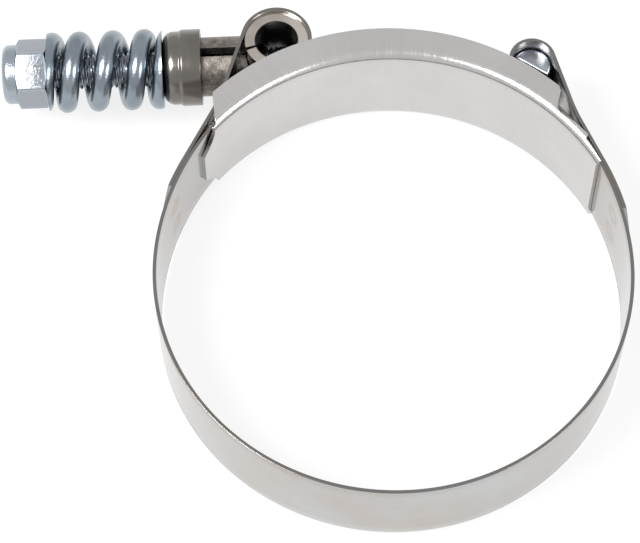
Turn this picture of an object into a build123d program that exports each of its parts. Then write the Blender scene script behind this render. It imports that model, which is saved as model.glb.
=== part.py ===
"""Spring-loaded T-bolt hose clamp, for an intercooler hose.

Millimetres. The origin is the centre of the hose circle at mid-width of the band,
+Z is the hose's own axis, and the threaded end of the bolt points along -X.
"""
import os
from math import acos, atan2, cos, degrees, hypot, pi, radians, sin

from build123d import *

# Band: one stainless strip, 3/4 inch wide, that leaves the hose circle on a wider arc each side
hose_radius = 41.0
band_thickness = 0.64
band_width = 19.05
left_flare_angle = 170.0
left_flare_offset = 5.9
right_flare_angle = 2.0
right_flare_offset = 9.0

# Both ends of the strip fold back into a loop, and each tail is welded down outside
loop_play = 0.05
left_knee = (-56.9, 46.9)
right_knee = (62.8, 38.8)
knee_radius = 30.0
weld_sink = 0.01
left_tail_end = 162.1
right_tail_end = 6.5
tail_corner = 4.2
slot_play = 0.6
slot_corner = 1.5

# Bolt, 1/4 inch, 28 threads to the inch, bent a little, with its tee in the right-hand loop
bolt_radius = 3.175
bolt_y = 46.45
bolt_start_x = -67.6
bolt_point = 0.7
bend_start_x = -14.0
bend_radius = 130.0
tee_centre = (27.2, 40.1)
tee_radius = 3.5
tee_length = 12.4
tee_flat_angle = 235.0
tee_flat_height = 0.2
tee_edge = 0.5

# Trunnion: a rolled tube in the left-hand loop, with a hole across it for the bolt
trunnion_x = -18.5
trunnion_radius = 5.7
trunnion_bore_radius = 3.8
trunnion_length = 14.0
trunnion_seam_angle = 203.0
trunnion_seam_width = 0.9
cross_hole_radius = 3.4

# Bridge: a channel that carries the hose pressure across the gap under the bolt
bridge_radius = 40.9
bridge_thickness = 0.7
bridge_bend_radius = 0.8
bridge_half_width = 10.7
flange_radius = 46.3
bridge_start_angle = 27.2
bridge_end_angle = 141.8
low_flange_radius = 42.6
tongue_half_width = 5.0
tongue_length = 3.9

# Sleeve and cup between the trunnion and the spring
sleeve_radius = 4.85
sleeve_bore_radius = 3.35
sleeve_seam_width = 1.3
cup_left_x = -39.35
cup_length = 7.0
cup_radius = 6.7
cup_rim_radius = 7.0
cup_rim_length = 3.5
cup_wall = 1.0
cup_corner_radius = 2.0
cup_hole_radius = 3.45

# Spring: left-hand, with closed and ground ends
spring_length = 20.9
coil_radius = 5.6
wire_radius = 1.8
spring_turns = 4.5
spring_start_angle = 205.0
end_crowding = 0.29
points_per_turn = 12
seat_gap = 0.02

# Lock nut, 7/16 inch across flats, with a nylon ring rolled into its collar
nut_flats = 11.11
nut_turned_to = 25.0
nut_length = 8.2
collar_length = 2.5
collar_radius = 5.5
collar_round = 1.2
nut_chamfer = 0.55
nut_face_radius = 5.4
nut_bore_radius = 3.235
insert_radius = 4.4
insert_length = 1.75
insert_lip = 0.55
insert_bore_radius = 3.2
mouth_radius = 3.9

os.makedirs("parts", exist_ok=True)


def polar(radius, angle, centre=(0.0, 0.0)):
    """The point at a distance and an angle in degrees from a centre."""
    return (
        centre[0] + radius * cos(radians(angle)),
        centre[1] + radius * sin(radians(angle)),
    )


def crossing(centre, radius, other, other_radius, side):
    """Angle about centre at which a strip leaves its arc for one that bends the other way."""
    run = (other[0] - centre[0], other[1] - centre[1])
    spread = acos((radius + other_radius) / hypot(*run))
    return degrees(atan2(run[1], run[0]) + side * spread)


def arc(radius, start, end, centre=(0.0, 0.0)):
    """An arc about a centre from one angle to another, either way round."""
    return ThreePointArc(
        polar(radius, start, centre),
        polar(radius, (start + end) / 2, centre),
        polar(radius, end, centre),
    )


def save(piece, name):
    """Label a finished piece and write it to its own file."""
    piece.part.label = name
    export_step(piece.part, f"parts/{name}.step")


# The strip's two loops, the wider arcs beside them, and the angles where it changes arc
left_loop = (trunnion_x, bolt_y)
left_loop_radius = trunnion_radius + loop_play + band_thickness
right_loop_radius = tee_radius + loop_play + band_thickness
left_flare = polar(-left_flare_offset, left_flare_angle)
right_flare = polar(-right_flare_offset, right_flare_angle)
left_flare_radius = hose_radius + left_flare_offset
right_flare_radius = hose_radius + right_flare_offset
left_leave = crossing(left_flare, left_flare_radius, left_loop, left_loop_radius, 1)
right_leave = crossing(right_flare, right_flare_radius, tee_centre, right_loop_radius, -1)


def main_layer(depth):
    """One face of the strip from loop top to loop top, at a depth from its hose face."""
    left_join = left_leave - 180
    right_join = right_leave + 180
    arc(left_loop_radius - depth, 90, left_join, left_loop)
    Line(
        polar(left_loop_radius - depth, left_join, left_loop),
        polar(left_flare_radius + depth, left_leave, left_flare),
    )
    arc(left_flare_radius + depth, left_leave, left_flare_angle, left_flare)
    arc(hose_radius + depth, left_flare_angle, right_flare_angle + 360)
    arc(right_flare_radius + depth, right_flare_angle, right_leave, right_flare)
    Line(
        polar(right_flare_radius + depth, right_leave, right_flare),
        polar(right_loop_radius - depth, right_join, tee_centre),
    )
    arc(right_loop_radius - depth, right_join, 90, tee_centre)


def tail_layer(depth, loop, loop_radius, knee, flare, flare_radius, end, side):
    """One face of a tail from loop top, round its knee, to its welded end."""
    tail_radius = flare_radius + 2 * band_thickness - weld_sink
    leave = crossing(loop, loop_radius, knee, knee_radius, -side)
    land = crossing(flare, tail_radius, knee, knee_radius, side)
    arc(loop_radius - depth, 90, leave, loop)
    Line(
        polar(loop_radius - depth, leave, loop),
        polar(knee_radius + depth, leave + 180, knee),
    )
    arc(knee_radius + depth, leave + 180, land + 180, knee)
    Line(
        polar(knee_radius + depth, land + 180, knee),
        polar(tail_radius - depth, land, flare),
    )
    arc(tail_radius - depth, land, end, flare)
    return polar(tail_radius - depth, end, flare)


def tail(loop, loop_radius, knee, flare, flare_radius, end, side):
    """A whole tail, with the two corners of its end cut off at 45 degrees."""
    way = (loop, loop_radius, knee, flare, flare_radius, end, side)
    with BuildPart() as piece:
        with BuildSketch():
            with BuildLine():
                outer_end = tail_layer(0, *way)
                inner_end = tail_layer(band_thickness, *way)
                Line(outer_end, inner_end)
                Line(
                    polar(loop_radius, 90, loop),
                    polar(loop_radius - band_thickness, 90, loop),
                )
            make_face()
        extrude(amount=band_width / 2, both=True)
        outward = polar(1, end)
        backward = polar(1, end - side * 90)
        end_plane = Plane(origin=(*outer_end, 0), x_dir=(*backward, 0), z_dir=(*outward, 0))
        with BuildSketch(end_plane):
            with BuildLine():
                Polyline(
                    (-1, band_width / 2 - tail_corner - 1),
                    (tail_corner + 1, band_width / 2 + 1),
                    (-1, band_width / 2 + 1),
                    close=True,
                )
            make_face()
            mirror(about=Plane.XZ)
        extrude(amount=2, both=True, mode=Mode.SUBTRACT)
    return piece.part


left_tail = tail(
    left_loop, left_loop_radius, left_knee, left_flare, left_flare_radius, left_tail_end, 1
)
right_tail = tail(
    tee_centre, right_loop_radius, right_knee, right_flare, right_flare_radius,
    right_tail_end, -1,
)

# Straight end of the bolt beyond its bend, which points at the middle of the tee
bend_centre = (bend_start_x, bolt_y - bend_radius)
bend_reach = hypot(tee_centre[0] - bend_centre[0], tee_centre[1] - bend_centre[1])
bend_end = degrees(
    atan2(tee_centre[1] - bend_centre[1], tee_centre[0] - bend_centre[0])
    + acos(bend_radius / bend_reach)
)
shank_away = polar(1, bend_end + 90)
shank_plane = Plane(
    origin=(*tee_centre, 0), x_dir=(0, 0, 1), z_dir=(*shank_away, 0)
)

with BuildPart() as band:
    with BuildSketch():
        with BuildLine():
            main_layer(0)
            main_layer(band_thickness)
            Line(
                polar(left_loop_radius, 90, left_loop),
                polar(left_loop_radius - band_thickness, 90, left_loop),
            )
            Line(
                polar(right_loop_radius, 90, tee_centre),
                polar(right_loop_radius - band_thickness, 90, tee_centre),
            )
        make_face()
    extrude(amount=band_width / 2, both=True)
    add(left_tail)
    add(right_tail)
    # Slots through the loops for the sleeve, for the bolt beyond it, and for the shank
    with BuildSketch(Plane.YZ.offset(trunnion_x)):
        with Locations((bolt_y, 0)):
            slot_size = 2 * (sleeve_radius + slot_play)
            RectangleRounded(slot_size, slot_size, slot_corner)
    extrude(amount=-12, mode=Mode.SUBTRACT)
    with BuildSketch(Plane.YZ.offset(trunnion_x)):
        with Locations((bolt_y, 0)):
            slot_size = 2 * (bolt_radius + slot_play)
            RectangleRounded(slot_size, slot_size, slot_corner)
    extrude(amount=8, mode=Mode.SUBTRACT)
    with BuildSketch(shank_plane):
        RectangleRounded(slot_size, slot_size, slot_corner)
    extrude(amount=7, mode=Mode.SUBTRACT)
save(band, "band")

section_plane = Plane(
    origin=(0, 0, 0),
    x_dir=(*polar(1, bridge_start_angle), 0),
    z_dir=(*polar(1, bridge_start_angle - 90), 0),
)
tongue_plane = Plane(
    origin=(*polar(bridge_radius, bridge_end_angle), 0),
    x_dir=(*polar(1, bridge_end_angle - 90), 0),
    z_dir=(*polar(1, bridge_end_angle), 0),
)
floor_outer = bridge_radius + bridge_thickness

with BuildPart() as bridge:
    # U section, seen along the band: floor against the hose, flanges turned outwards
    with BuildSketch(section_plane) as section:
        with Locations(((bridge_radius + flange_radius) / 2, 0)):
            Rectangle(flange_radius - bridge_radius, 2 * bridge_half_width)
        fillet(
            section.vertices().group_by(Axis.X)[0],
            bridge_bend_radius + bridge_thickness,
        )
        with BuildSketch(mode=Mode.PRIVATE) as channel:
            with Locations(((floor_outer + flange_radius) / 2 + 1, 0)):
                Rectangle(
                    flange_radius - floor_outer + 2,
                    2 * (bridge_half_width - bridge_thickness),
                )
            fillet(channel.vertices().group_by(Axis.X)[0], bridge_bend_radius)
        add(channel.sketch, mode=Mode.SUBTRACT)
    revolve(axis=Axis.Z, revolution_arc=bridge_end_angle - bridge_start_angle)
    # Under the tee both flanges step down to a low lip
    with BuildSketch():
        with BuildLine():
            Line(
                polar(low_flange_radius - 0.6, bridge_start_angle - 1),
                polar(low_flange_radius, 34),
            )
            ThreePointArc(polar(low_flange_radius, 34), (33.7, 25.9), (31.9, 27.8))
            ThreePointArc((31.9, 27.8), (30.8, 29.4), (31.3, 31.5))
            ThreePointArc((31.3, 31.5), (31.8, 32.9), (31.1, 34.0))
            Line((31.1, 34.0), polar(flange_radius + 0.1, 49))
            arc(flange_radius + 3, 49, bridge_start_angle - 1)
            Line(polar(flange_radius + 0.1, 49), polar(flange_radius + 3, 49))
            Line(
                polar(flange_radius + 3, bridge_start_angle - 1),
                polar(low_flange_radius - 0.6, bridge_start_angle - 1),
            )
        make_face()
    extrude(amount=bridge_half_width + 1, both=True, mode=Mode.SUBTRACT)
    # Under the trunnion both flanges end square, and the floor runs on as a tongue
    with BuildSketch():
        with BuildLine():
            tongue_root = polar(floor_outer + 0.2, 136)
            ThreePointArc((-30.9, 35.5), (-30.6, 31.5), tongue_root)
            arc(floor_outer + 0.2, 136, bridge_end_angle + 1)
            Line(
                polar(floor_outer + 0.2, bridge_end_angle + 1),
                polar(flange_radius + 2, bridge_end_angle + 1),
            )
            Line(polar(flange_radius + 2, bridge_end_angle + 1), (-30.9, 35.5))
        make_face()
    extrude(amount=bridge_half_width + 1, both=True, mode=Mode.SUBTRACT)
    with BuildSketch(tongue_plane):
        with BuildLine():
            ThreePointArc(
                (0, tongue_half_width),
                (0.32 * tongue_length, 8.5),
                (tongue_length, bridge_half_width),
            )
            Line((tongue_length, bridge_half_width), (tongue_length, bridge_half_width + 1))
            Line((tongue_length, bridge_half_width + 1), (-3, bridge_half_width + 1))
            Line((-3, bridge_half_width + 1), (-3, tongue_half_width))
            Line((-3, tongue_half_width), (0, tongue_half_width))
        make_face()
        mirror(about=Plane.XZ)
    extrude(amount=8, both=True, mode=Mode.SUBTRACT)
save(bridge, "bridge")

bolt_axis = Axis((0, bolt_y, 0), (1, 0, 0))
shank_start = polar(bend_radius, bend_end, bend_centre)

with BuildPart() as t_bolt:
    with BuildLine():
        Line((bolt_start_x, bolt_y), (bend_start_x, bolt_y))
        arc(bend_radius, 90, bend_end, bend_centre)
        Line(shank_start, tee_centre)
    with BuildSketch(Plane.YZ.offset(bolt_start_x)):
        with Locations((bolt_y, 0)):
            Circle(bolt_radius)
    sweep()
    chamfer(t_bolt.edges().sort_by(Axis.X)[0], bolt_point)
    with BuildSketch():
        with Locations(tee_centre):
            Circle(tee_radius)
        flat_depth = tee_radius - tee_flat_height
        with Locations(polar(tee_flat_height + flat_depth / 2, tee_flat_angle, tee_centre)):
            Rectangle(
                flat_depth, 2 * tee_radius, rotation=tee_flat_angle, mode=Mode.SUBTRACT
            )
    bar = extrude(amount=tee_length / 2, both=True)
    chamfer(
        t_bolt.edges().group_by(Axis.Z)[0] + t_bolt.edges().group_by(Axis.Z)[-1],
        tee_edge,
    )
save(t_bolt, "t_bolt")

with BuildPart() as trunnion:
    with Locations((*left_loop, 0)):
        Cylinder(trunnion_radius, trunnion_length)
        Cylinder(trunnion_bore_radius, trunnion_length, mode=Mode.SUBTRACT)
        Cylinder(
            cross_hole_radius, 3 * trunnion_radius, rotation=(0, 90, 0),
            mode=Mode.SUBTRACT,
        )
    with BuildSketch():
        with Locations(polar(trunnion_radius, trunnion_seam_angle, left_loop)):
            Rectangle(
                trunnion_radius, trunnion_seam_width, rotation=trunnion_seam_angle
            )
    extrude(amount=trunnion_length, both=True, mode=Mode.SUBTRACT)
save(trunnion, "trunnion")

with BuildPart() as sleeve:
    with BuildSketch(Plane.YZ.offset(cup_left_x + cup_wall)):
        with Locations((bolt_y, 0)):
            Circle(sleeve_radius)
            Circle(sleeve_bore_radius, mode=Mode.SUBTRACT)
        with Locations((bolt_y, sleeve_radius)):
            Rectangle(sleeve_seam_width, sleeve_radius, mode=Mode.SUBTRACT)
    extrude(amount=trunnion_x - 2.6 - cup_left_x - cup_wall)
    with Locations((*left_loop, 0)):
        Cylinder(trunnion_radius + seat_gap, trunnion_length, mode=Mode.SUBTRACT)
save(sleeve, "sleeve")

with BuildPart() as spring_cup:
    with BuildSketch() as profile:
        cup_right_x = cup_left_x + cup_length
        rim_x = cup_right_x - cup_rim_length
        with BuildLine():
            Polyline(
                (cup_left_x, bolt_y + cup_hole_radius),
                (cup_left_x, bolt_y + cup_radius),
                (rim_x - 0.5, bolt_y + cup_radius),
                (rim_x, bolt_y + cup_rim_radius),
                (cup_right_x, bolt_y + cup_rim_radius),
                (cup_right_x, bolt_y + cup_rim_radius - cup_wall),
                (rim_x, bolt_y + cup_rim_radius - cup_wall),
                (rim_x - 0.5, bolt_y + cup_radius - cup_wall),
                (cup_left_x + cup_wall, bolt_y + cup_radius - cup_wall),
                (cup_left_x + cup_wall, bolt_y + cup_hole_radius),
                close=True,
            )
        make_face()
        corners = profile.vertices().filter_by_position(
            Axis.Y, bolt_y + cup_radius - cup_wall - 0.01, bolt_y + cup_radius + 0.01
        )
        fillet(corners.group_by(Axis.X)[0], cup_corner_radius)
        fillet(corners.group_by(Axis.X)[1], cup_corner_radius - cup_wall)
    revolve(axis=bolt_axis)
save(spring_cup, "spring_cup")

spring_right_x = cup_left_x - seat_gap
spring_left_x = spring_right_x - spring_length


def coil_point(turn):
    """Wire centre after so many turns, with the turns drawn together at both ends."""
    share = turn / spring_turns
    crowding = end_crowding * sin(2 * pi * share) / (2 * pi)
    angle = spring_start_angle - 360 * turn
    along_y, along_z = polar(coil_radius, angle)
    return (
        spring_left_x + spring_length * (share - crowding),
        bolt_y + along_y,
        along_z,
    )


with BuildPart() as spring:
    with BuildLine():
        steps = round(spring_turns * points_per_turn)
        wire_path = Spline([coil_point(step / points_per_turn) for step in range(steps + 1)])
    with BuildSketch(Plane(origin=wire_path @ 0, z_dir=wire_path % 0)):
        Circle(wire_radius)
    sweep()
    # Both ends are ground flat, through the middle of the wire where it starts
    with Locations(((spring_left_x + spring_right_x) / 2, bolt_y, 0)):
        Box(
            spring_length, 4 * coil_radius, 4 * coil_radius, mode=Mode.INTERSECT
        )
save(spring, "spring")

nut_right_x = spring_left_x - seat_gap
nut_left_x = nut_right_x - nut_length
hex_left_x = nut_left_x + collar_length
insert_left_x = nut_left_x + insert_lip

with BuildPart() as lock_nut:
    with BuildSketch(Plane.YZ.offset(hex_left_x)):
        with Locations((bolt_y, 0)):
            RegularPolygon(
                nut_flats / 2, side_count=6, major_radius=False, rotation=nut_turned_to
            )
    extrude(amount=nut_right_x - hex_left_x)
    with BuildSketch():
        with BuildLine():
            Polyline(
                (nut_right_x, bolt_y),
                (nut_right_x, bolt_y + nut_face_radius),
                (nut_right_x - nut_chamfer, bolt_y + nut_flats * 0.6),
                (hex_left_x + nut_chamfer, bolt_y + nut_flats * 0.6),
                (hex_left_x, bolt_y + nut_face_radius),
                (hex_left_x, bolt_y),
                close=True,
            )
        make_face()
    revolve(axis=bolt_axis, mode=Mode.INTERSECT)
    with BuildSketch() as collar:
        with Locations(((nut_left_x + hex_left_x) / 2, bolt_y + collar_radius / 2)):
            Rectangle(collar_length, collar_radius)
        fillet(
            collar.vertices().group_by(Axis.X)[0].sort_by(Axis.Y)[-1], collar_round
        )
    revolve(axis=bolt_axis)
    with BuildSketch():
        with BuildLine():
            Polyline(
                (nut_right_x + 1, bolt_y),
                (nut_right_x + 1, bolt_y + nut_bore_radius),
                (insert_left_x + insert_length, bolt_y + nut_bore_radius),
                (insert_left_x + insert_length, bolt_y + insert_radius),
                (insert_left_x, bolt_y + insert_radius),
                (insert_left_x, bolt_y + mouth_radius),
                (nut_left_x - 1, bolt_y + mouth_radius),
                (nut_left_x - 1, bolt_y),
                close=True,
            )
        make_face()
    revolve(axis=bolt_axis, mode=Mode.SUBTRACT)
save(lock_nut, "lock_nut")

with BuildPart() as nylon_insert:
    with BuildSketch(Plane.YZ.offset(insert_left_x)):
        with Locations((bolt_y, 0)):
            Circle(insert_radius)
            Circle(insert_bore_radius, mode=Mode.SUBTRACT)
    extrude(amount=insert_length)
save(nylon_insert, "nylon_insert")
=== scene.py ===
"""Spring-loaded T-bolt hose clamp, dressed for its picture.

Lengths are worked out in millimetres in the part's own frame: the hose circle's centre at
the origin, +Z along the hose, the nut end of the bolt towards -X.
"""

import bpy
import numpy as np
from mathutils import Matrix


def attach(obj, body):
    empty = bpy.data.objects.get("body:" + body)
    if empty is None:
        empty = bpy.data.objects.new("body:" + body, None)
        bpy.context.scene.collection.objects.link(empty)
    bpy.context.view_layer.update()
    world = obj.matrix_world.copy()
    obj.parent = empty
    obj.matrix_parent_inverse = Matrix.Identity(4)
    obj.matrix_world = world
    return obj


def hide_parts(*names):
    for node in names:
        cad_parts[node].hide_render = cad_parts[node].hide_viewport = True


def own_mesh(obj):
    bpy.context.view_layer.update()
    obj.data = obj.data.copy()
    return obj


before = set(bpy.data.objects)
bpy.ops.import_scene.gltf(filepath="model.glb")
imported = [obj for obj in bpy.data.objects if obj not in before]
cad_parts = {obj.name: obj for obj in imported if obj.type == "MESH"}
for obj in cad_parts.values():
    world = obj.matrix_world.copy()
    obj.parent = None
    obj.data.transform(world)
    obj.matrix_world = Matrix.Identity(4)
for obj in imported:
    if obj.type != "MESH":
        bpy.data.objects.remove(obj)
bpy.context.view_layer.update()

# Band strip, its loops and its tails, as in the part's source
HOSE_R = 41.0
STRIP_T = 0.64
STRIP_W = 19.05
STRIP_EDGE = 0.09
LEFT_FLARE = np.array([5.81, -1.0245])
LEFT_FLARE_R = 46.9
LEFT_FLARE_ANGLE = 170.0
RIGHT_FLARE = np.array([-8.9945, -0.3141])
RIGHT_FLARE_R = 50.0
RIGHT_FLARE_ANGLE = 2.0
LEFT_TAIL_END = 162.1
RIGHT_TAIL_END = 6.5
TRUNNION = np.array([-18.5, 46.45])
TRUNNION_R = 5.7
TEE = np.array([27.2, 40.1])
TEE_R = 3.5
LEFT_KNEE = np.array([-56.9, 46.9])
RIGHT_KNEE = np.array([62.8, 38.8])
KNEE_R = 30.0
LOOP_PLAY = 0.05
WELD_SINK = 0.01
TAIL_CORNER = 4.2
BOLT_Y = 46.45
BOLT_Z = 0.0
BOLT_R = 3.175

# Slots for the sleeve and the bolt, and how far along the strip from a loop's top they lie
SLEEVE_SLOT_HALF = 5.8
BOLT_SLOT_HALF = 3.775
SLOT_CORNER = 1.5
SLEEVE_SLOT_REACH = 22
BOLT_SLOT_REACH = 16


def polar(radius, degrees, centre=(0.0, 0.0)):
    """Centre plus radius times (cos, sin) of the angle, for one angle or an array of them."""
    turn = np.radians(degrees)
    return np.asarray(centre) + np.stack(
        [radius * np.cos(turn), radius * np.sin(turn)], -1
    )


def crossing(centre, radius, other, other_radius, side):
    """Angle about centre where a strip leaves one arc for another that bends the other way:
    the bearing of the other centre, plus or minus arccos((r1 + r2) / distance)."""
    run = other - centre
    spread = np.degrees(np.arccos((radius + other_radius) / np.hypot(*run)))
    return np.degrees(np.arctan2(run[1], run[0])) + side * spread


def circle(first, middle, last):
    """Centre and radius of the circle through three points: the centre c solves
    2 (p - first) . c = p . p - first . first for both of the other points."""
    first, middle, last = (np.array(point, float) for point in (first, middle, last))
    rows = 2 * np.stack([middle - first, last - first])
    centre = np.linalg.solve(
        rows, [middle @ middle - first @ first, last @ last - first @ first]
    )
    return centre, np.hypot(*(first - centre))


def arc_route(turns, step=0.2):
    """Points and left-hand normals along arcs (centre, radius, start, end) that follow one
    another with straight lines between: each point is centre + radius (cos a, sin a), and
    its normal points at the centre where the arc runs anticlockwise."""
    points, normals = [], []
    for centre, radius, start, end in turns:
        count = max(5, int(abs(np.radians(end - start)) * radius / step))
        angles = np.linspace(start, end, count)
        points.append(polar(radius, angles, centre))
        normals.append(-np.sign(end - start) * polar(1.0, angles))
    points = np.concatenate(points)
    along = np.concatenate([[0.0], np.hypot(*np.diff(points, axis=0).T).cumsum()])
    return along, points, np.concatenate(normals)


def put_mesh(name, parts, material, smooth_to=35.0):
    """One object from several closed grids, each (points, uv) of rows by a closed loop.

    Neighbouring rows are joined by quads; each end is closed by a ladder that joins loop
    point i to loop point n - 1 - i, unless the rows close on themselves. A grid whose
    signed volume, a third of the sum of corner . (edge x edge), is negative is turned."""
    all_points, all_uv, all_quads, offset = [], [], [], 0
    for points, uv, wraps in parts:
        rows, loop = points.shape[:2]
        index = np.arange(rows * loop).reshape(rows, loop)
        if wraps:
            index = np.concatenate([index, index[:1]])
        near, far = index[:-1], index[1:]
        quads = np.stack(
            [near, np.roll(near, -1, 1), np.roll(far, -1, 1), far], -1
        ).reshape(-1, 4)
        if not wraps:
            half = np.arange(loop // 2 - 1)
            ladder = np.stack([half, loop - 1 - half, loop - 2 - half, half + 1], -1)
            quads = np.concatenate([quads, index[0][ladder], index[-1][ladder][:, ::-1]])
        flat = points.reshape(-1, 3)
        a, b, c, d = (flat[quads[:, k]] for k in range(4))
        if (a * (np.cross(b, c) + np.cross(c, d))).sum() < 0:
            quads = quads[:, ::-1]
        all_points.append(flat)
        all_uv.append(uv.reshape(-1, 2))
        all_quads.append(quads + offset)
        offset += rows * loop
    points = np.concatenate(all_points) / 1000
    uv = np.concatenate(all_uv)
    quads = np.concatenate(all_quads)
    mesh = bpy.data.meshes.new(name)
    mesh.vertices.add(len(points))
    mesh.vertices.foreach_set("co", points.astype(np.float32).ravel())
    mesh.loops.add(quads.size)
    mesh.loops.foreach_set("vertex_index", quads.astype(np.int32).ravel())
    mesh.polygons.add(len(quads))
    mesh.polygons.foreach_set("loop_start", np.arange(0, quads.size, 4, dtype=np.int32))
    mesh.uv_layers.new(name="UVMap")
    mesh.uv_layers[0].data.foreach_set("uv", uv[quads.ravel()].astype(np.float32).ravel())
    mesh.update(calc_edges=True)
    mesh.validate()
    mesh.shade_smooth()
    mesh.set_sharp_from_angle(angle=np.radians(smooth_to))
    mesh.materials.append(material)
    piece = bpy.data.objects.new(name, mesh)
    bpy.context.scene.collection.objects.link(piece)
    return piece


def plate(surface, stations, low, high, thickness, edge=0.1, across=9, steps=4):
    """Sheet of even thickness on a surface P(s, w) with normal N(s, w).

    Each station's loop runs from the low edge over the upper face to the high edge and
    back underneath: w goes from low to high, n stays at half the thickness, and both
    corners follow a quarter circle of radius edge. A point is P + n N."""
    turn = np.linspace(0, np.pi / 2, steps)
    inner = np.linspace(0, 1, across)
    share = np.concatenate([np.zeros(steps - 1), inner, np.ones(steps - 1)])
    shift = np.concatenate(
        [-np.sin(turn[:0:-1]), np.zeros(across), np.sin(turn[1:])]
    ) * edge
    height = np.concatenate(
        [np.cos(turn[:0:-1]), np.ones(across), np.cos(turn[1:])]
    ) * edge + thickness / 2 - edge
    share = np.concatenate([share, share[::-1]])
    shift = np.concatenate([shift, shift[::-1]])
    height = np.concatenate([height, -height[::-1]])
    low = np.broadcast_to(low, stations.shape)[:, None]
    high = np.broadcast_to(high, stations.shape)[:, None]
    w = low + edge + share * (high - low - 2 * edge) + shift
    s = np.broadcast_to(stations[:, None], w.shape)
    place, normal = surface(s, w)
    return place + height[None, :, None] * normal, np.stack([s, w], -1), False


def eased(start, end, count):
    """Stations from start to end, closer together at both ends: a half cosine."""
    return start + (end - start) * (1 - np.cos(np.linspace(0, np.pi, count))) / 2


def rounded(corners, radii, steps=6):
    """A closed outline whose corners are arcs of the given radii: each arc is centred on
    the corner's bisector, at radius / sin(half the angle) from the corner."""
    corners = np.asarray(corners, float)
    before, after = np.roll(corners, 1, 0), np.roll(corners, -1, 0)
    outline = []
    for corner, last, following, radius in zip(corners, before, after, radii):
        back = (last - corner) / np.hypot(*(last - corner))
        ahead = (following - corner) / np.hypot(*(following - corner))
        half = np.arccos(np.clip(back @ ahead, -1, 1)) / 2
        middle = (back + ahead) / np.hypot(*(back + ahead))
        centre = corner + middle * radius / np.sin(half)
        first = corner + back * radius / np.tan(half) - centre
        final = corner + ahead * radius / np.tan(half) - centre
        share = np.linspace(0, 1, steps)[:, None]
        ray = first * (1 - share) + final * share
        outline.append(centre + ray * radius / np.hypot(*ray.T)[:, None])
    return np.concatenate(outline)


def turned(outline, count=96):
    """A closed outline of (x, radius) carried round the bolt's axis: each point goes to
    (x, bolt y + radius cos a, bolt z + radius sin a)."""
    angle = np.linspace(0, 2 * np.pi, count, endpoint=False)
    x = np.broadcast_to(outline[:, :1], (len(outline), count))
    radius = np.broadcast_to(outline[:, 1:2], x.shape)
    points = np.stack(
        [x, BOLT_Y + radius * np.cos(angle), BOLT_Z + radius * np.sin(angle)], -1
    )
    along = np.concatenate([[0.0], np.hypot(*np.diff(outline, axis=0).T).cumsum()])
    uv = np.stack([radius * angle, np.broadcast_to(along[:, None], x.shape)], -1)
    return points, uv, True


def node_tools(tree):
    """Short ways to add a node with its settings to a tree, and to join two sockets."""
    def add(kind, **settings):
        node = tree.nodes.new(kind)
        for key, value in settings.items():
            if key in node.inputs:
                node.inputs[key].default_value = value
            else:
                setattr(node, key, value)
        return node

    def join(source, target):
        tree.links.new(source, target)

    return add, join


def shader_tools(material):
    """A material's shader, and the short ways to add and join its nodes."""
    return (material.node_tree.nodes["Principled BSDF"], *node_tools(material.node_tree))


def nodes_of(name):
    """A new material with only its shader, and the short ways to add and join nodes."""
    material = bpy.data.materials.new(name)
    material.use_nodes = True
    return (material, *shader_tools(material))


def ramp(add, join, source, start, end, low=0.0, high=1.0):
    """An output that goes from low to high, and no further, as a source goes from start
    to end."""
    node = add("ShaderNodeMapRange")
    for socket, value in (("From Min", start), ("From Max", end),
                          ("To Min", low), ("To Max", high)):
        node.inputs[socket].default_value = value
    join(source, node.inputs["Value"])
    return node.outputs["Result"]


def combine(add, join, operation, first, second):
    """Two outputs, or an output and a number, through one sum."""
    node = add("ShaderNodeMath", operation=operation)
    join(first, node.inputs[0])
    if isinstance(second, float):
        node.inputs[1].default_value = second
    else:
        join(second, node.inputs[1])
    return node.outputs[0]


def blend_colour(add, join, share, first, second):
    """A colour from the first to the second, each a colour or an output, by a share."""
    node = add("ShaderNodeMix", data_type="RGBA")
    sockets = {socket.identifier: socket for socket in node.inputs}
    join(share, sockets["Factor_Float"])
    for socket, colour in ((sockets["A_Color"], first), (sockets["B_Color"], second)):
        if isinstance(colour, tuple):
            socket.default_value = (*colour, 1.0)
        else:
            join(colour, socket)
    return next(socket for socket in node.outputs if socket.identifier == "Result_Color")


def background_share(add, join):
    """1 for what the camera, a mirroring surface or a clear one sees, and otherwise 0."""
    ray = add("ShaderNodeLightPath")
    seen = combine(add, join, "MAXIMUM", ray.outputs["Is Camera Ray"],
                   ray.outputs["Is Glossy Ray"])
    return combine(add, join, "MAXIMUM", seen, ray.outputs["Is Transmission Ray"])


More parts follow.
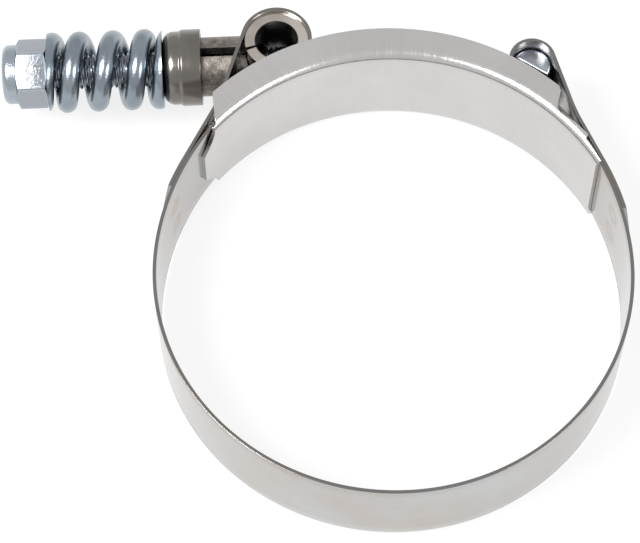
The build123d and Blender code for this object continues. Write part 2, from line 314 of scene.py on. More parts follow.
def metal(name, colour, dark, roughness, grain=(0.04, 6.0), grain_depth=0.01, spread=0.05,
          speckle=0.0, cloud=120.0):
    """Bare or plated metal. Colour runs between two tones by a soft cloud; fine lines, noise
    stretched in the piece's UV map, move its roughness and a shallow bump, and speckle adds
    the orange peel of plated wire, in millimetres."""
    material, shader, add, join = nodes_of(name)
    where = add("ShaderNodeTexCoord")
    clouds = add("ShaderNodeTexNoise", Scale=cloud, Detail=3.0, Roughness=0.6)
    join(where.outputs["Object"], clouds.inputs["Vector"])
    stretch = add("ShaderNodeMapping")
    stretch.inputs["Scale"].default_value = (grain[0], grain[1], 1.0)
    join(where.outputs["UV"], stretch.inputs["Vector"])
    lines = add("ShaderNodeTexNoise", Scale=1.0, Detail=4.0, Roughness=0.7)
    join(stretch.outputs["Vector"], lines.inputs["Vector"])
    tone = ramp(add, join, clouds.outputs["Fac"], 0.35, 0.65)
    join(blend_colour(add, join, tone, dark, colour), shader.inputs["Base Color"])
    rough = ramp(add, join, lines.outputs["Fac"], 0.3, 0.7,
                 roughness - spread, roughness + spread)
    join(rough, shader.inputs["Roughness"])
    bump = add("ShaderNodeBump", Strength=0.5)
    bump.inputs["Distance"].default_value = grain_depth / 1000
    join(lines.outputs["Fac"], bump.inputs["Height"])
    if speckle:
        peel = add("ShaderNodeTexNoise", Scale=3200.0, Detail=2.0, Roughness=0.6)
        join(where.outputs["Object"], peel.inputs["Vector"])
        dimple = add("ShaderNodeBump", Strength=0.6)
        dimple.inputs["Distance"].default_value = speckle / 1000
        join(peel.outputs["Fac"], dimple.inputs["Height"])
        join(bump.outputs["Normal"], dimple.inputs["Normal"])
        bump = dimple
    join(bump.outputs["Normal"], shader.inputs["Normal"])
    shader.inputs["Metallic"].default_value = 1.0
    return material


def feed_of(shader, socket):
    """The output that drives one of a shader's sockets."""
    return shader.inputs[socket].links[0].from_socket


def scale_colour(material, factor):
    """A material's base colour times an output."""
    shader, add, join = shader_tools(material)
    scale = add("ShaderNodeVectorMath", operation="SCALE")
    join(feed_of(shader, "Base Color"), scale.inputs[0])
    join(factor, scale.inputs["Scale"])
    join(scale.outputs[0], shader.inputs["Base Color"])


def from_axis(add, join, centre, keep):
    """Distance from a line through a centre in millimetres: the length of the piece's
    coordinates less the centre's, where keep is 0 for the one along the line."""
    where = add("ShaderNodeTexCoord")
    shift = add("ShaderNodeMapping", Location=[-value / 1000 for value in centre], Scale=keep)
    join(where.outputs["Object"], shift.inputs["Vector"])
    length = add("ShaderNodeVectorMath", operation="LENGTH")
    join(shift.outputs[0], length.inputs[0])
    return length.outputs["Value"]


def paint_bore_shade(material, centre, radius, soft, inside):
    """Painted shade in a bore, darker than the outside: the colour is multiplied
    by a step of the distance hypot(x - x0, y - y0) from the tube's axis, in millimetres."""
    _, add, join = shader_tools(material)
    away = from_axis(add, join, (*centre, 0), (1, 1, 0))
    scale_colour(material, ramp(add, join, away, radius / 1000, (radius + soft) / 1000,
                                inside, 1.0))


def paint_edge_reflection(material, height, soft, tone):
    """Painted dark reflection on the band's edges, darker than the rolled faces: the colour is
    multiplied by a step of the distance |z| from the band's mid-width, in millimetres."""
    _, add, join = shader_tools(material)
    away = from_axis(add, join, (0, 0, 0), (0, 0, 1))
    scale_colour(material, ramp(add, join, away, height / 1000, (height + soft) / 1000,
                                1.0, tone))


def dull_flats_paint_reflection(material, colour, roughness, centre, first, last, corner):
    """Hexagon flats rougher than their edges, with a painted dark reflection in their colour:
    between first and last along the bolt, and nearer than the corners to its axis, the colour
    and the roughness change over by a soft step of x and of hypot(y - y0, z - z0), in
    millimetres."""
    shader, add, join = shader_tools(material)
    where = add("ShaderNodeTexCoord")
    split = add("ShaderNodeSeparateXYZ")
    join(where.outputs["Object"], split.inputs[0])
    away = from_axis(add, join, (0, *centre), (0, 1, 1))
    x = split.outputs["X"]
    ends = combine(add, join, "MULTIPLY",
                   ramp(add, join, x, first / 1000, (first + 0.25) / 1000),
                   ramp(add, join, x, last / 1000, (last - 0.25) / 1000))
    share = combine(add, join, "MULTIPLY", ends,
                    ramp(add, join, away, corner / 1000, (corner - 0.2) / 1000))
    join(blend_colour(add, join, share, feed_of(shader, "Base Color"), colour),
         shader.inputs["Base Color"])
    rough = add("ShaderNodeMix", B=roughness)
    join(share, rough.inputs["Factor"])
    join(feed_of(shader, "Roughness"), rough.inputs["A"])
    join(rough.outputs["Result"], shader.inputs["Roughness"])


def weld_marks(material, places, reach, colour, strength):
    """Spot welds as faint brown rings: brightness over the distance from the nearest place
    rises and falls again within the reach, in millimetres, and mixes in a heat colour."""
    shader, add, join = shader_tools(material)
    where = add("ShaderNodeTexCoord")
    mark = None
    for place in places:
        away = add("ShaderNodeVectorMath", operation="DISTANCE")
        away.inputs[1].default_value = [value / 1000 for value in place]
        join(where.outputs["Object"], away.inputs[0])
        ring = add("ShaderNodeValToRGB")
        stops = ring.color_ramp.elements
        stops.new(0.3)
        stops.new(0.5)
        for stop, level in zip(stops, (0.15, 0.3, 1.0, 0.0)):
            stop.color = (level, level, level, 1)
        stops[3].position = 0.8
        join(combine(add, join, "MULTIPLY", away.outputs["Value"], 1000 / reach),
             ring.inputs["Fac"])
        level = ring.outputs["Color"]
        mark = level if mark is None else combine(add, join, "MAXIMUM", mark, level)
    faint = combine(add, join, "MULTIPLY", mark, strength)
    join(blend_colour(add, join, faint, feed_of(shader, "Base Color"), colour),
         shader.inputs["Base Color"])


STRIP_STEEL = metal("rolled_strip_steel", (0.45, 0.446, 0.442), (0.43, 0.395, 0.365), 0.16,
                    cloud=70.0)
BRIDGE_STEEL = metal("pressed_bridge_steel", (0.61, 0.6, 0.595), (0.57, 0.56, 0.55), 0.2,
                     grain=(2.5, 0.04), grain_depth=0.03, spread=0.1, cloud=60.0)
TUBE_STEEL = metal("drawn_tube_steel", (0.6, 0.56, 0.51), (0.45, 0.41, 0.37), 0.2)
SLEEVE_STEEL = metal("sleeve_tube_steel", (0.27, 0.245, 0.22), (0.12, 0.11, 0.095), 0.4,
                     speckle=0.1, cloud=900.0)
CUP_NICKEL = metal("dark_nickel", (0.21, 0.195, 0.18), (0.16, 0.15, 0.14), 0.2)
SPRING_ZINC = metal("zinc_on_wire", (0.3, 0.345, 0.38), (0.24, 0.28, 0.32), 0.2,
                    speckle=0.07)
NUT_ZINC = metal("zinc_on_nut", (0.39, 0.43, 0.48), (0.33, 0.37, 0.42), 0.2,
                 grain_depth=0.002, speckle=0.09)
BOLT_ZINC = metal("zinc_on_bolt", (0.5, 0.53, 0.56), (0.32, 0.34, 0.37), 0.26,
                  speckle=0.03)
# Painted shade: the trunnion's bore is darkened towards its axis
paint_bore_shade(TUBE_STEEL, TRUNNION, 3.9, 0.1, 0.12)
# Painted dark reflection in the colour of the nut's flats, which are also made rougher
dull_flats_paint_reflection(NUT_ZINC, (0.34, 0.36, 0.39), 0.13, (BOLT_Y, BOLT_Z), -65.6, -60.55, 6.2)
# Painted dark reflection along the band strip's edges
paint_edge_reflection(STRIP_STEEL, 9.46, 0.05, 0.5)
weld_marks(
    STRIP_STEEL,
    [(-38.7, 16.8, 3.2), (-38.7, 16.8, -3.2), (40.3, 11.4, 3.2), (40.3, 11.4, -3.2)],
    3.4, (0.3, 0.2, 0.13), 0.5,
)

# The strip as one route, from the left tail's end round the hose to the right tail's end
LEFT_LOOP_R = TRUNNION_R + LOOP_PLAY + STRIP_T
RIGHT_LOOP_R = TEE_R + LOOP_PLAY + STRIP_T
LEFT_TAIL_R = LEFT_FLARE_R + 2 * STRIP_T - WELD_SINK
RIGHT_TAIL_R = RIGHT_FLARE_R + 2 * STRIP_T - WELD_SINK
left_leave = crossing(LEFT_FLARE, LEFT_FLARE_R, TRUNNION, LEFT_LOOP_R, 1)
right_leave = crossing(RIGHT_FLARE, RIGHT_FLARE_R, TEE, RIGHT_LOOP_R, -1)
left_tail_off = crossing(TRUNNION, LEFT_LOOP_R, LEFT_KNEE, KNEE_R, -1) % 360
left_tail_on = crossing(LEFT_FLARE, LEFT_TAIL_R, LEFT_KNEE, KNEE_R, 1)
right_tail_off = crossing(TEE, RIGHT_LOOP_R, RIGHT_KNEE, KNEE_R, 1)
right_tail_on = crossing(RIGHT_FLARE, RIGHT_TAIL_R, RIGHT_KNEE, KNEE_R, -1)
HALF_T = STRIP_T / 2
strip_along, strip_points, strip_normals = arc_route([
    (LEFT_FLARE, LEFT_TAIL_R - HALF_T, LEFT_TAIL_END, left_tail_on),
    (LEFT_KNEE, KNEE_R + HALF_T, left_tail_on - 180, left_tail_off - 180),
    (TRUNNION, LEFT_LOOP_R - HALF_T, left_tail_off, left_leave - 180),
    (LEFT_FLARE, LEFT_FLARE_R + HALF_T, left_leave, LEFT_FLARE_ANGLE),
    (np.zeros(2), HOSE_R + HALF_T, LEFT_FLARE_ANGLE, 360 + RIGHT_FLARE_ANGLE),
    (RIGHT_FLARE, RIGHT_FLARE_R + HALF_T, RIGHT_FLARE_ANGLE, right_leave),
    (TEE, RIGHT_LOOP_R - HALF_T, right_leave + 180, right_tail_off),
    (RIGHT_KNEE, KNEE_R + HALF_T, right_tail_off + 180, right_tail_on + 180),
    (RIGHT_FLARE, RIGHT_TAIL_R - HALF_T, right_tail_on, RIGHT_TAIL_END),
])
STRIP_END = strip_along[-1]
SHANK_WAY = np.array([-0.9689, 0.2475])  # the shank's direction away from the tee


def strip_surface(s, w):
    """The strip's middle: the route's point at length s, at height w along the hose."""
    x, y = (np.interp(s, strip_along, strip_points[:, k]) for k in range(2))
    nx, ny = (np.interp(s, strip_along, strip_normals[:, k]) for k in range(2))
    size = np.hypot(nx, ny)
    return np.stack([x, y, w], -1), np.stack([nx / size, ny / size, 0 * w], -1)


def strip_where(value, first, last):
    """Lengths along the strip at which a value on the route changes sign."""
    inside = (strip_along >= first) & (strip_along <= last)
    spot, level = strip_along[inside], value[inside]
    change = np.nonzero(np.diff(np.sign(level)))[0]
    share = level[change] / (level[change] - level[change + 1])
    return spot[change] + share * (spot[change + 1] - spot[change])


def band_parts():
    """Full-width runs between the slots, and two side rails beside each slot. Half the gap
    between the rails is h - r + sqrt(r^2 - (r - d)^2) at a distance d from a slot's end."""
    left_top = strip_along[
        np.argmax(np.where(strip_points[:, 0] < 0, strip_points[:, 1], 0))
    ]
    right_top = strip_along[
        np.argmax(np.where(strip_points[:, 0] > 20, strip_points[:, 1], 0))
    ]
    height = strip_points[:, 1] - BOLT_Y
    from_tee = (strip_points - TEE) @ np.array([-SHANK_WAY[1], SHANK_WAY[0]])
    slots = []
    for half, value, first, last in (
        (SLEEVE_SLOT_HALF, height, left_top - SLEEVE_SLOT_REACH, left_top),
        (BOLT_SLOT_HALF, height, left_top, left_top + BOLT_SLOT_REACH),
        (BOLT_SLOT_HALF, from_tee, right_top - BOLT_SLOT_REACH, right_top),
    ):
        edges = strip_where(np.abs(value) - half, first, last)
        slots.append((edges[0], edges[-1], half))
    parts, start = [], 0.0
    corner = SLOT_CORNER
    for slot_start, slot_end, half in slots + [(STRIP_END, STRIP_END, 0.0)]:
        if start == 0.0:
            stations = np.concatenate([np.linspace(0, TAIL_CORNER, 12),
                                       np.arange(TAIL_CORNER + 0.3, slot_start, 0.3),
                                       [slot_start]])
        elif slot_start == STRIP_END:
            stations = np.concatenate([np.arange(start, STRIP_END - TAIL_CORNER, 0.3),
                                       np.linspace(STRIP_END - TAIL_CORNER, STRIP_END, 12)])
        else:
            stations = np.linspace(start, slot_start,
                                   max(8, int((slot_start - start) / 0.35)))
        cut = np.maximum(0, TAIL_CORNER - np.minimum(stations, STRIP_END - stations))
        reach = STRIP_W / 2 - cut
        parts.append(plate(strip_surface, stations, -reach, reach, STRIP_T, STRIP_EDGE))
        if slot_start == STRIP_END:
            break
        stations = np.concatenate([eased(slot_start, slot_start + corner, 12)[:-1],
                                   np.linspace(slot_start + corner, slot_end - corner, 30),
                                   eased(slot_end - corner, slot_end, 12)[1:]])
        inward = np.minimum(np.minimum(stations - slot_start, slot_end - stations), corner)
        gap = half - corner + np.sqrt(corner**2 - (corner - inward) ** 2)
        for low, high in ((-STRIP_W / 2, -gap), (gap, STRIP_W / 2)):
            parts.append(plate(strip_surface, stations, low, high, STRIP_T, STRIP_EDGE))
        start = slot_end
    return parts


band = put_mesh("band_strip", band_parts(), STRIP_STEEL)
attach(band, "root")
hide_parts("band")

# Bridge: floor, bends and flanges, followed as one width w from the middle of the floor
BRIDGE_R = 40.9
BRIDGE_T = 0.7
BEND_R = 1.1
BRIDGE_HALF = 10.7
BRIDGE_START = 26.3
BRIDGE_END = 141.8
MID_BEND = BEND_R + BRIDGE_T / 2
FLAT_HALF = BRIDGE_HALF - BRIDGE_T - BEND_R
BEND_LENGTH = MID_BEND * np.pi / 2


def bridge_surface(s, w):
    """The channel's middle. Up to the floor's half width the point is (floor radius, w);
    then it turns through a quarter circle, then climbs as a flange. s is the angle in
    degrees about the hose's axis."""
    side = np.sign(w)
    past = np.abs(w) - FLAT_HALF
    turn = np.clip(past / MID_BEND, 0, np.pi / 2)
    climb = np.maximum(past - BEND_LENGTH, 0)
    radius = BRIDGE_R + BRIDGE_T / 2 + MID_BEND * (1 - np.cos(turn)) + climb
    z = side * (np.minimum(np.abs(w), FLAT_HALF) + MID_BEND * np.sin(turn))
    out = np.stack([np.cos(np.radians(s)), np.sin(np.radians(s))], -1)
    place = np.concatenate([radius[..., None] * out, z[..., None]], -1)
    lean = np.cos(turn)[..., None]
    normal = np.concatenate([lean * out, -(side * np.sin(turn))[..., None]], -1)
    return place, normal


CROWN = circle((31.0, 34.1), (1.8, 46.9), (-30.8, 34.75))
LEFT_END = np.array([[-30.3, 35.6], [-30.0, 29.1]])
LEFT_END_FROM = 125.0
TONGUE_MID = 7.0
TONGUE_LENGTH = 3.9
TONGUE = circle((0, 4.3), (2.2, TONGUE_MID), (TONGUE_LENGTH, 11.9))
# Step under the tee: the flange edge's radius at angles about the hose's axis
STEP_ANGLES = [26.3, 33.2, 33.4, 33.6, 37.9, 41.1, 42.2, 43.0, 43.7, 44.5, 45.2, 45.7, 46.1,
               46.8, 47.7]
FAR_OUT = 60.0  # a radius or width past every other, where an edge doesn't apply
STEP_RADII = [42.0, 42.2, 42.6, 42.9, 42.69, 42.38, 42.3, 42.4, 42.6, 43.45, 44.4, 45.1,
              45.6, 45.9, FAR_OUT]
LEAST_CLIMB = 0.15


def bridge_reach(angle):
    """Half width along the channel at an angle. The flange's outer edge is the far crossing
    of the angle's ray u with the crown circle, c . u + sqrt(R^2 - c . c + (c . u)^2); the
    left end is straight, (p x d) / (u x d), and the step under the tee is a table. The
    tongue's half width is z + sqrt(R^2 - (d - x)^2) at a distance d from its end."""
    ray = polar(1.0, angle)
    centre, size = CROWN
    radius = ray @ centre + np.sqrt(size**2 - centre @ centre + (ray @ centre) ** 2)
    step = np.interp(angle, STEP_ANGLES, STEP_RADII)
    corner, run = LEFT_END[0], LEFT_END[1] - LEFT_END[0]
    end = (corner[0] * run[1] - corner[1] * run[0]) / (
        ray[..., 0] * run[1] - ray[..., 1] * run[0]
    )
    end = np.where(angle < LEFT_END_FROM, FAR_OUT,
                   np.maximum(end, BRIDGE_R + BRIDGE_T + LEAST_CLIMB))
    radius = np.minimum(np.minimum(radius, step), end)
    climb = np.maximum(radius - BRIDGE_R - BRIDGE_T / 2 - MID_BEND, 0)
    turn = np.arccos(np.clip(1 - (radius - BRIDGE_R - BRIDGE_T / 2) / MID_BEND, 0, 1))
    reach = FLAT_HALF + MID_BEND * turn + climb
    centre, size = TONGUE
    from_end = (BRIDGE_END - angle) * np.radians(BRIDGE_R)
    rise = np.sqrt(np.maximum(size**2 - (from_end - centre[0]) ** 2, 0))
    width = np.where(from_end < TONGUE_LENGTH,
                     centre[1] - np.sign(centre[1] - TONGUE_MID) * rise, FAR_OUT)
    return np.minimum(reach, width)


bridge_stations = np.unique(np.concatenate([
    np.linspace(BRIDGE_START, 41, 40), np.linspace(41, 49, 60), np.linspace(49, 131, 190),
    np.linspace(131, 136.6, 40), eased(136.6, BRIDGE_END, 40)]))
reach = bridge_reach(bridge_stations)
bridge = put_mesh(
    "bridge_channel",
    [plate(bridge_surface, bridge_stations, -reach, reach, BRIDGE_T, 0.1, across=81)],
    BRIDGE_STEEL,
)
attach(bridge, "root")
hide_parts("bridge")

# Bolt: rolled thread, bowed plain shank and D-section tee
BOLT_START = -67.6
PITCH = 25.4 / 28
THREAD_END = -17.5
THREAD_DEPTH = 0.5
THREAD_CREST = 0.08
THREAD_FLANK = 0.34
THREAD_FADE = 1.5
BOLT_POINT = 0.7
BEND_START = -14.0
SHANK_BEND_R = 130.0
BEND_CENTRE = np.array([BEND_START, BOLT_Y - SHANK_BEND_R])
BEND_END = 75.67
bolt_along, bolt_points, bolt_normals = arc_route([
    (BEND_CENTRE + np.array([BOLT_START - BEND_START, 0]), SHANK_BEND_R, 90.02, 90.0),
    (BEND_CENTRE, SHANK_BEND_R, 90.0, BEND_END),
    (TEE, 0.001, BEND_END, BEND_END - 0.01),
])


def bolt_rod():
    """A rod along the bolt's route. Its radius is the crest less the thread's depth times
    a clipped triangle wave of (length - pitch x turn), fading out at the thread's end."""
    thread_length = THREAD_END - BOLT_START
    stations = np.concatenate([np.arange(0, thread_length, PITCH / 10),
                               np.linspace(thread_length, bolt_along[-1], 120)])
    angle = np.linspace(0, 2 * np.pi, 48, endpoint=False)
    phase = (stations[:, None] / PITCH - angle / (2 * np.pi)) % 1
    wave = np.clip((0.5 - np.abs(phase - 0.5) - THREAD_CREST) / THREAD_FLANK, 0, 1)
    fade = np.clip((thread_length - stations) / THREAD_FADE, 0, 1)[:, None]
    radius = BOLT_R - THREAD_DEPTH * wave * fade
    radius = np.minimum(radius, BOLT_R - BOLT_POINT + stations[:, None])
    x, y = (np.interp(stations, bolt_along, bolt_points[:, k])[:, None] for k in range(2))
    nx, ny = (np.interp(stations, bolt_along, bolt_normals[:, k])[:, None] for k in range(2))
    points = np.stack([x + radius * np.cos(angle) * nx, y + radius * np.cos(angle) * ny,
                       BOLT_Z + radius * np.sin(angle)], -1)
    uv = np.stack([np.broadcast_to(BOLT_R * angle, radius.shape),
                   np.broadcast_to(stations[:, None], radius.shape)], -1)
    return points, uv, False


TEE_HALF = 7.0
TEE_EDGE = 0.5
TEE_FLAT = 0.2
TEE_FLAT_ANGLE = 235.0


def tee_bar():
    """A D-section bar along Z: the circle, clipped to a flat a little past its centre,
    shrunk by the edge's quarter circle at both ends."""
    turn = np.linspace(0, np.pi / 2, 6)
    shrink = TEE_EDGE * (1 - np.sin(turn))
    z = np.concatenate([shrink - TEE_HALF, TEE_HALF - shrink[::-1]])
    into_edge = np.maximum(np.abs(z) - TEE_HALF + TEE_EDGE, 0)
    inset = TEE_EDGE - np.sqrt(np.maximum(TEE_EDGE**2 - into_edge**2, 0))
    angle = np.linspace(0, 2 * np.pi, 72, endpoint=False)
    radius = (TEE_R - inset)[:, None]
    across = radius * np.cos(angle)
    along = np.broadcast_to(radius * np.sin(angle), across.shape)
    across = np.minimum(across, (TEE_FLAT - inset)[:, None])
    flat = np.radians(TEE_FLAT_ANGLE)
    points = np.stack([TEE[0] + across * np.cos(flat) - along * np.sin(flat),
                       TEE[1] + across * np.sin(flat) + along * np.cos(flat),
                       np.broadcast_to(BOLT_Z + z[:, None], across.shape)], -1)
    uv = np.stack([np.broadcast_to(TEE_R * angle, across.shape),
                   np.broadcast_to(z[:, None], across.shape)], -1)
    return points, uv, False


bolt = put_mesh("bolt_shank", [bolt_rod(), tee_bar()], BOLT_ZINC)
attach(bolt, "root")
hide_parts("t_bolt")

# Trunnion and sleeve: thick rolled tubes with open seams
TRUNNION_WALL = 1.9
TRUNNION_MID = 4.75
CROSS_HOLE_R = 3.7
TRUNNION_HALF = 8.8
SEAM_ANGLE = 196.0
SEAM_HALF = 0.25
TUBE_EDGE = 0.15
END_RUN = 0.6


def trunnion_surface(s, w):
    """The tube's middle: height s along the hose, and w degrees round from +X."""
    out = np.stack([np.cos(np.radians(w)), np.sin(np.radians(w)), 0 * w], -1)
    place = TRUNNION_MID * out + np.stack([TRUNNION[0] + 0 * w, TRUNNION[1] + 0 * w, s], -1)
    return place, out


def trunnion_parts():
    """Plain tube above and below the cross hole; beside it, walls that stop at the hole's
    edge, arcsin((d -+ sqrt(r^2 - z^2)) / tube radius) round from the middle plane, where d
    is how far the bolt's axis lies below the tube's."""
    seam = np.degrees(SEAM_HALF / TRUNNION_MID)
    first, last = SEAM_ANGLE + seam, SEAM_ANGLE + 360 - seam
    drop = BOLT_Y - TRUNNION[1]
    parts = []
    for low, high in ((-TRUNNION_HALF, BOLT_Z - CROSS_HOLE_R),
                      (BOLT_Z + CROSS_HOLE_R, TRUNNION_HALF)):
        stations = np.concatenate([eased(low, low + END_RUN, 6)[:-1],
                                   np.linspace(low + END_RUN, high - END_RUN, 6),
                                   eased(high - END_RUN, high, 6)[1:]])
        parts.append(plate(trunnion_surface, stations, first, last, TRUNNION_WALL,
                           TUBE_EDGE, across=90))
    stations = CROSS_HOLE_R * np.sin(np.linspace(-np.pi / 2, np.pi / 2, 40))
    chord = np.sqrt(np.maximum(CROSS_HOLE_R**2 - stations**2, 0))
    upper = np.degrees(np.arcsin((drop + chord) / TRUNNION_MID))
    lower = np.degrees(np.arcsin((drop - chord) / TRUNNION_MID))
    stations = stations + BOLT_Z
    parts.append(plate(trunnion_surface, stations, np.maximum(first, 180 - lower),
                       360 + lower, TRUNNION_WALL, TUBE_EDGE, across=40))
    parts.append(plate(trunnion_surface, stations, 360 + upper, 540 - upper,
                       TRUNNION_WALL, TUBE_EDGE, across=40))
    return parts


trunnion = put_mesh("trunnion_tube", trunnion_parts(), TUBE_STEEL)
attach(trunnion, "root")
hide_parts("trunnion")

CUP_LEFT = -39.35
SLEEVE_MID = 4.5
SLEEVE_WALL = 1.8
SLEEVE_SEAM_HALF = 9.6
SLEEVE_IN_CUP = 1.0
COPE_R = 5.72


def sleeve_surface(s, w):
    """The sleeve's middle: s degrees round the bolt from +Y towards +Z, at x = w."""
    turn = np.radians(s)
    out = np.stack([0 * w, np.cos(turn), np.sin(turn)], -1)
    return SLEEVE_MID * out + np.stack([w, BOLT_Y + 0 * w, BOLT_Z + 0 * w], -1), out


sleeve_angles = np.linspace(90 + SLEEVE_SEAM_HALF, 450 - SLEEVE_SEAM_HALF, 121)
sleeve_rise = BOLT_Y - TRUNNION[1] + SLEEVE_MID * np.cos(np.radians(sleeve_angles))
cope = TRUNNION[0] - np.sqrt(COPE_R**2 - sleeve_rise**2)
sleeve = put_mesh(
    "sleeve_tube",
    [plate(sleeve_surface, sleeve_angles, CUP_LEFT + SLEEVE_IN_CUP, cope, SLEEVE_WALL, 0.12,
           across=31)],
    SLEEVE_STEEL,
)
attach(sleeve, "root")
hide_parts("sleeve")

# Cup: lengths from its left face, with the radius there, and each corner's own rounding
CUP_OUTLINE = np.array([(0, 3.45), (0, 6.7), (3.0, 6.7), (3.5, 7.0), (7.0, 7.0),
                        (7.0, 6.0), (3.5, 6.0), (3.0, 5.7), (1.0, 5.7), (1.0, 3.45)])
CUP_ROUNDING = [0.15, 2.0, 0.3, 0.4, 0.2, 0.2, 0.3, 0.3, 1.0, 0.1]
cup = put_mesh(
    "spring_cup_turned",
    [turned(rounded(CUP_OUTLINE + (CUP_LEFT, 0), CUP_ROUNDING))],
    CUP_NICKEL,
)
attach(cup, "root")
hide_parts("spring_cup")

# Spring: left-hand wire with both ends closed and ground flat
SEAT_GAP = 0.02
SPRING_RIGHT = CUP_LEFT - SEAT_GAP
SPRING_LENGTH = 20.9
GROUND_OFF = 1.2
SPRING_LEFT = SPRING_RIGHT - SPRING_LENGTH
COIL_R = 5.6
WIRE_R = 1.8
SPRING_TURNS = 4.5
SPRING_START = 205.0
CROWDING = 0.22
WIRE_LENGTH = 158


def spring_wire():
    """Wire along x = left - g + (length + 2 g) (u - c sin(2 pi u) / 2 pi), turning
    against the clock from its start; rings stand across the path and are clipped to the
    two ground planes. Where the middle of the wire is d beyond a plane, what is left of
    the ring is no wider than sqrt(r^2 - d^2), which leaves a thin tip at both ends."""
    u = np.linspace(0, 1, 500)
    angle = np.radians(SPRING_START - 360 * SPRING_TURNS * u)
    share = u - CROWDING * np.sin(2 * np.pi * u) / (2 * np.pi)
    x = SPRING_LEFT - GROUND_OFF + (SPRING_LENGTH + 2 * GROUND_OFF) * share
    radial = np.stack([0 * u, np.cos(angle), np.sin(angle)], -1)
    centre = np.stack([x, BOLT_Y + 0 * u, BOLT_Z + 0 * u], -1) + COIL_R * radial
    tangent = np.gradient(centre, axis=0)
    tangent /= np.linalg.norm(tangent, axis=1)[:, None]
    side = np.cross(tangent, radial)
    side /= np.linalg.norm(side, axis=1)[:, None]
    turn = np.linspace(0, 2 * np.pi, 48, endpoint=False)
    over = np.maximum(np.maximum(SPRING_LEFT - x, x - SPRING_RIGHT), 0)[:, None]
    chord = np.sqrt(WIRE_R**2 - over**2)
    outward = np.clip(WIRE_R * np.cos(turn), -chord, chord)[..., None]
    points = (centre[:, None] + outward * radial[:, None]
              + WIRE_R * np.sin(turn)[None, :, None] * side[:, None])
    points[..., 0] = np.clip(points[..., 0], SPRING_LEFT, SPRING_RIGHT)
    uv = np.stack([np.broadcast_to(u[:, None] * WIRE_LENGTH, points.shape[:2]),
                   np.broadcast_to(WIRE_R * turn, points.shape[:2])], -1)
    return points, uv, False


spring = put_mesh("spring_coil", [spring_wire()], SPRING_ZINC, 50.0)
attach(spring, "spring")
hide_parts("spring")

# Lock nut: chamfered hexagon, rolled collar and nylon ring
NUT_RIGHT = SPRING_LEFT - SEAT_GAP
NUT_LENGTH = 8.2
NUT_LEFT = NUT_RIGHT - NUT_LENGTH
COLLAR_LENGTH = 2.5
HEX_LEFT = NUT_LEFT + COLLAR_LENGTH
HALF_FLATS = 11.11 / 2
FLAT_ANGLE = 55
CORNER_R = 6.34
FACE_R = 5.4
CONE_SLOPE = 2.3
NUT_BORE_R = 3.235
COLLAR_ROUND = 1.2
INSERT_R = 4.4
INSERT_FROM = 0.55
INSERT_TO = 2.3
INSERT_BORE_R = 3.2


def nut_body():
    """A closed outline round the bolt whose outer radius is the hexagon's: half the flats
    over cos(angle from the nearest flat), cut by a cone at both ends."""
    angle = np.linspace(0, 2 * np.pi, 288, endpoint=False)
    from_flat = (np.degrees(angle) - FLAT_ANGLE + 30) % 60 - 30
    hexagon = np.minimum(HALF_FLATS / np.cos(np.radians(from_flat)), CORNER_R)
    meet = (hexagon - FACE_R) / CONE_SLOPE
    cone = FACE_R + 0.8 * CONE_SLOPE * meet
    full = np.ones_like(angle)
    face = [(NUT_RIGHT - 0.35, NUT_BORE_R), (NUT_RIGHT - 0.02, 3.6), (NUT_RIGHT, 3.66),
            (NUT_RIGHT, 5.3), (NUT_RIGHT - 0.01, 5.38)]
    flats = [(NUT_RIGHT - meet * 0.8, cone), (NUT_RIGHT - meet - 0.03, hexagon - 0.015),
             (NUT_RIGHT - meet - 0.12, hexagon), (HEX_LEFT + meet + 0.12, hexagon),
             (HEX_LEFT + meet + 0.03, hexagon - 0.015), (HEX_LEFT + meet * 0.8, cone),
             (HEX_LEFT, FACE_R + 0.02)]
    dome = [(NUT_LEFT + COLLAR_ROUND * (1 - np.sin(bow)),
             FACE_R - COLLAR_ROUND * (1 - np.cos(bow)))
            for bow in np.linspace(0, np.pi / 2, 10)]
    inside = [(NUT_LEFT + 0.05, 3.95), (NUT_LEFT + 0.15, 3.9), (NUT_LEFT + INSERT_FROM, 3.9),
              (NUT_LEFT + INSERT_FROM, INSERT_R), (NUT_LEFT + INSERT_TO, INSERT_R),
              (NUT_LEFT + INSERT_TO, NUT_BORE_R)]
    rows = [(x * full, radius * full) for x, radius in face + flats + dome + inside]
    x = np.stack([row[0] for row in rows])
    radius = np.stack([row[1] for row in rows])
    points = np.stack(
        [x, BOLT_Y + radius * np.cos(angle), BOLT_Z + radius * np.sin(angle)], -1
    )
    uv = np.stack([np.broadcast_to(6 * angle, x.shape), x], -1)
    return points, uv, True


nut = put_mesh("lock_nut_body", [nut_body()], NUT_ZINC, 25.0)
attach(nut, "nut")
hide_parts("lock_nut")

nylon, nylon_shader = nodes_of("blue_nylon")[:2]
nylon_shader.inputs["Base Color"].default_value = (0.05, 0.1, 0.3, 1)
nylon_shader.inputs["Roughness"].default_value = 0.45
insert = put_mesh(
    "nylon_ring",
    [turned(rounded([(NUT_LEFT + INSERT_FROM, INSERT_BORE_R), (NUT_LEFT + INSERT_FROM, INSERT_R),
                     (NUT_LEFT + INSERT_TO, INSERT_R), (NUT_LEFT + INSERT_TO, INSERT_BORE_R)],
                    [0.15] * 4))],
    nylon,
)
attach(insert, "nut")
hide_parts("nylon_insert")

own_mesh(spring)

# Floor, light and camera
FLOOR_HALF = 3
FLOOR_Z = -0.0107
floor_mesh = bpy.data.meshes.new("floor")
floor_mesh.from_pydata(
    [(x * FLOOR_HALF, y * FLOOR_HALF, FLOOR_Z) for x, y in ((-1, -1), (1, -1), (1, 1), (-1, 1))],
    [], [(0, 1, 2, 3)],
)
floor = bpy.data.objects.new("floor", floor_mesh)
bpy.context.scene.collection.objects.link(floor)
floor_material, floor_shader, add, join = nodes_of("pale_floor")
floor_shader.inputs["Base Color"].default_value = (0.9, 0.9, 0.9, 1)
floor_shader.inputs["Roughness"].default_value = 0.9
floor_shader.inputs["Specular IOR Level"].default_value = 0.0
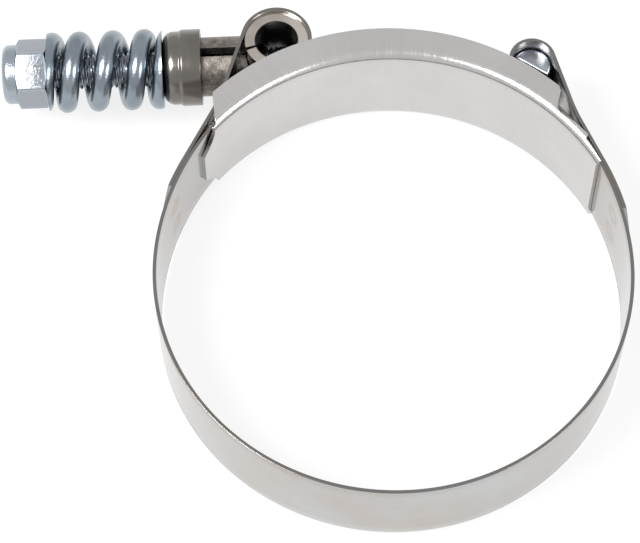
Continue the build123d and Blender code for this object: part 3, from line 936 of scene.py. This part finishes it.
# A fifth of the floor's own shading stays in what is seen, and keeps the shadow
share = combine(add, join, "MULTIPLY", background_share(add, join), 0.8)
glow = add("ShaderNodeEmission", Strength=1.0)
blend = add("ShaderNodeMixShader")
join(share, blend.inputs[0])
join(floor_shader.outputs[0], blend.inputs[1])
join(glow.outputs[0], blend.inputs[2])
join(blend.outputs[0], floor_material.node_tree.nodes["Material Output"].inputs["Surface"])
floor_mesh.materials.append(floor_material)

world = bpy.data.worlds.new("studio")
bpy.context.scene.world = world
world.use_nodes = True
ambient = world.node_tree.nodes["Background"]
ambient.inputs["Color"].default_value = (0.9, 0.92, 0.95, 1)
ambient.inputs["Strength"].default_value = 0.6
add, join = node_tools(world.node_tree)
white = add("ShaderNodeBackground", Strength=1.0)
chosen = add("ShaderNodeMixShader")
join(background_share(add, join), chosen.inputs[0])
join(ambient.outputs[0], chosen.inputs[1])
join(white.outputs[0], chosen.inputs[2])
join(chosen.outputs[0], world.node_tree.nodes["World Output"].inputs["Surface"])


def soft_light(name, place, aim, size, power):
    """A square area light at a place, facing a point, in metres and watts."""
    lamp = bpy.data.lights.new(name, "AREA")
    lamp.size = size
    lamp.energy = power
    holder = bpy.data.objects.new(name, lamp)
    holder.location = place
    way = holder.location - type(holder.location)(aim)
    holder.rotation_euler = way.to_track_quat("Z", "Y").to_euler()
    bpy.context.scene.collection.objects.link(holder)


LAMP_AIM = (0, 0.02, 0)
LAMP_SIZE = 0.3
soft_light("key_softbox", (-0.35, -0.1, 0.55), LAMP_AIM, LAMP_SIZE, 5)
soft_light("fill_softbox", (0.5, -0.3, 0.5), LAMP_AIM, LAMP_SIZE, 2.5)

# Camera: fitted to the ring's edges in the photograph, at a distance that was chosen
DISTANCE = 480.0
ACROSS = -12.72
RISE = 3.27
FOCAL_PIXELS = 2727.7
PICTURE_WIDTH = 640
SENSOR_WIDTH = 36.0
ELEVATION = np.radians(64.92)
ROLL = np.radians(-0.49)
TURN = np.radians(-2.088)
back = np.array([0, -np.cos(ELEVATION), np.sin(ELEVATION)])
right = np.array([1.0, 0, 0])
up = np.cross(back, right)
right, up = (np.cos(ROLL) * right + np.sin(ROLL) * up,
             -np.sin(ROLL) * right + np.cos(ROLL) * up)
spot = DISTANCE * back + ACROSS * right + RISE * up
spin = np.array([[np.cos(TURN), -np.sin(TURN), 0], [np.sin(TURN), np.cos(TURN), 0], [0, 0, 1]])
matrix = np.eye(4)
matrix[:3, :3] = spin @ np.stack([right, up, back], 1)
matrix[:3, 3] = spin @ spot / 1000
lens = bpy.data.cameras.new("camera")
lens.sensor_width = SENSOR_WIDTH
lens.lens = FOCAL_PIXELS * SENSOR_WIDTH / PICTURE_WIDTH
lens.clip_start = 0.01
camera = bpy.data.objects.new("camera", lens)
camera.matrix_world = Matrix(matrix.tolist())
bpy.context.scene.collection.objects.link(camera)
bpy.context.scene.camera = camera

scene = bpy.context.scene
scene.view_settings.view_transform = "Standard"
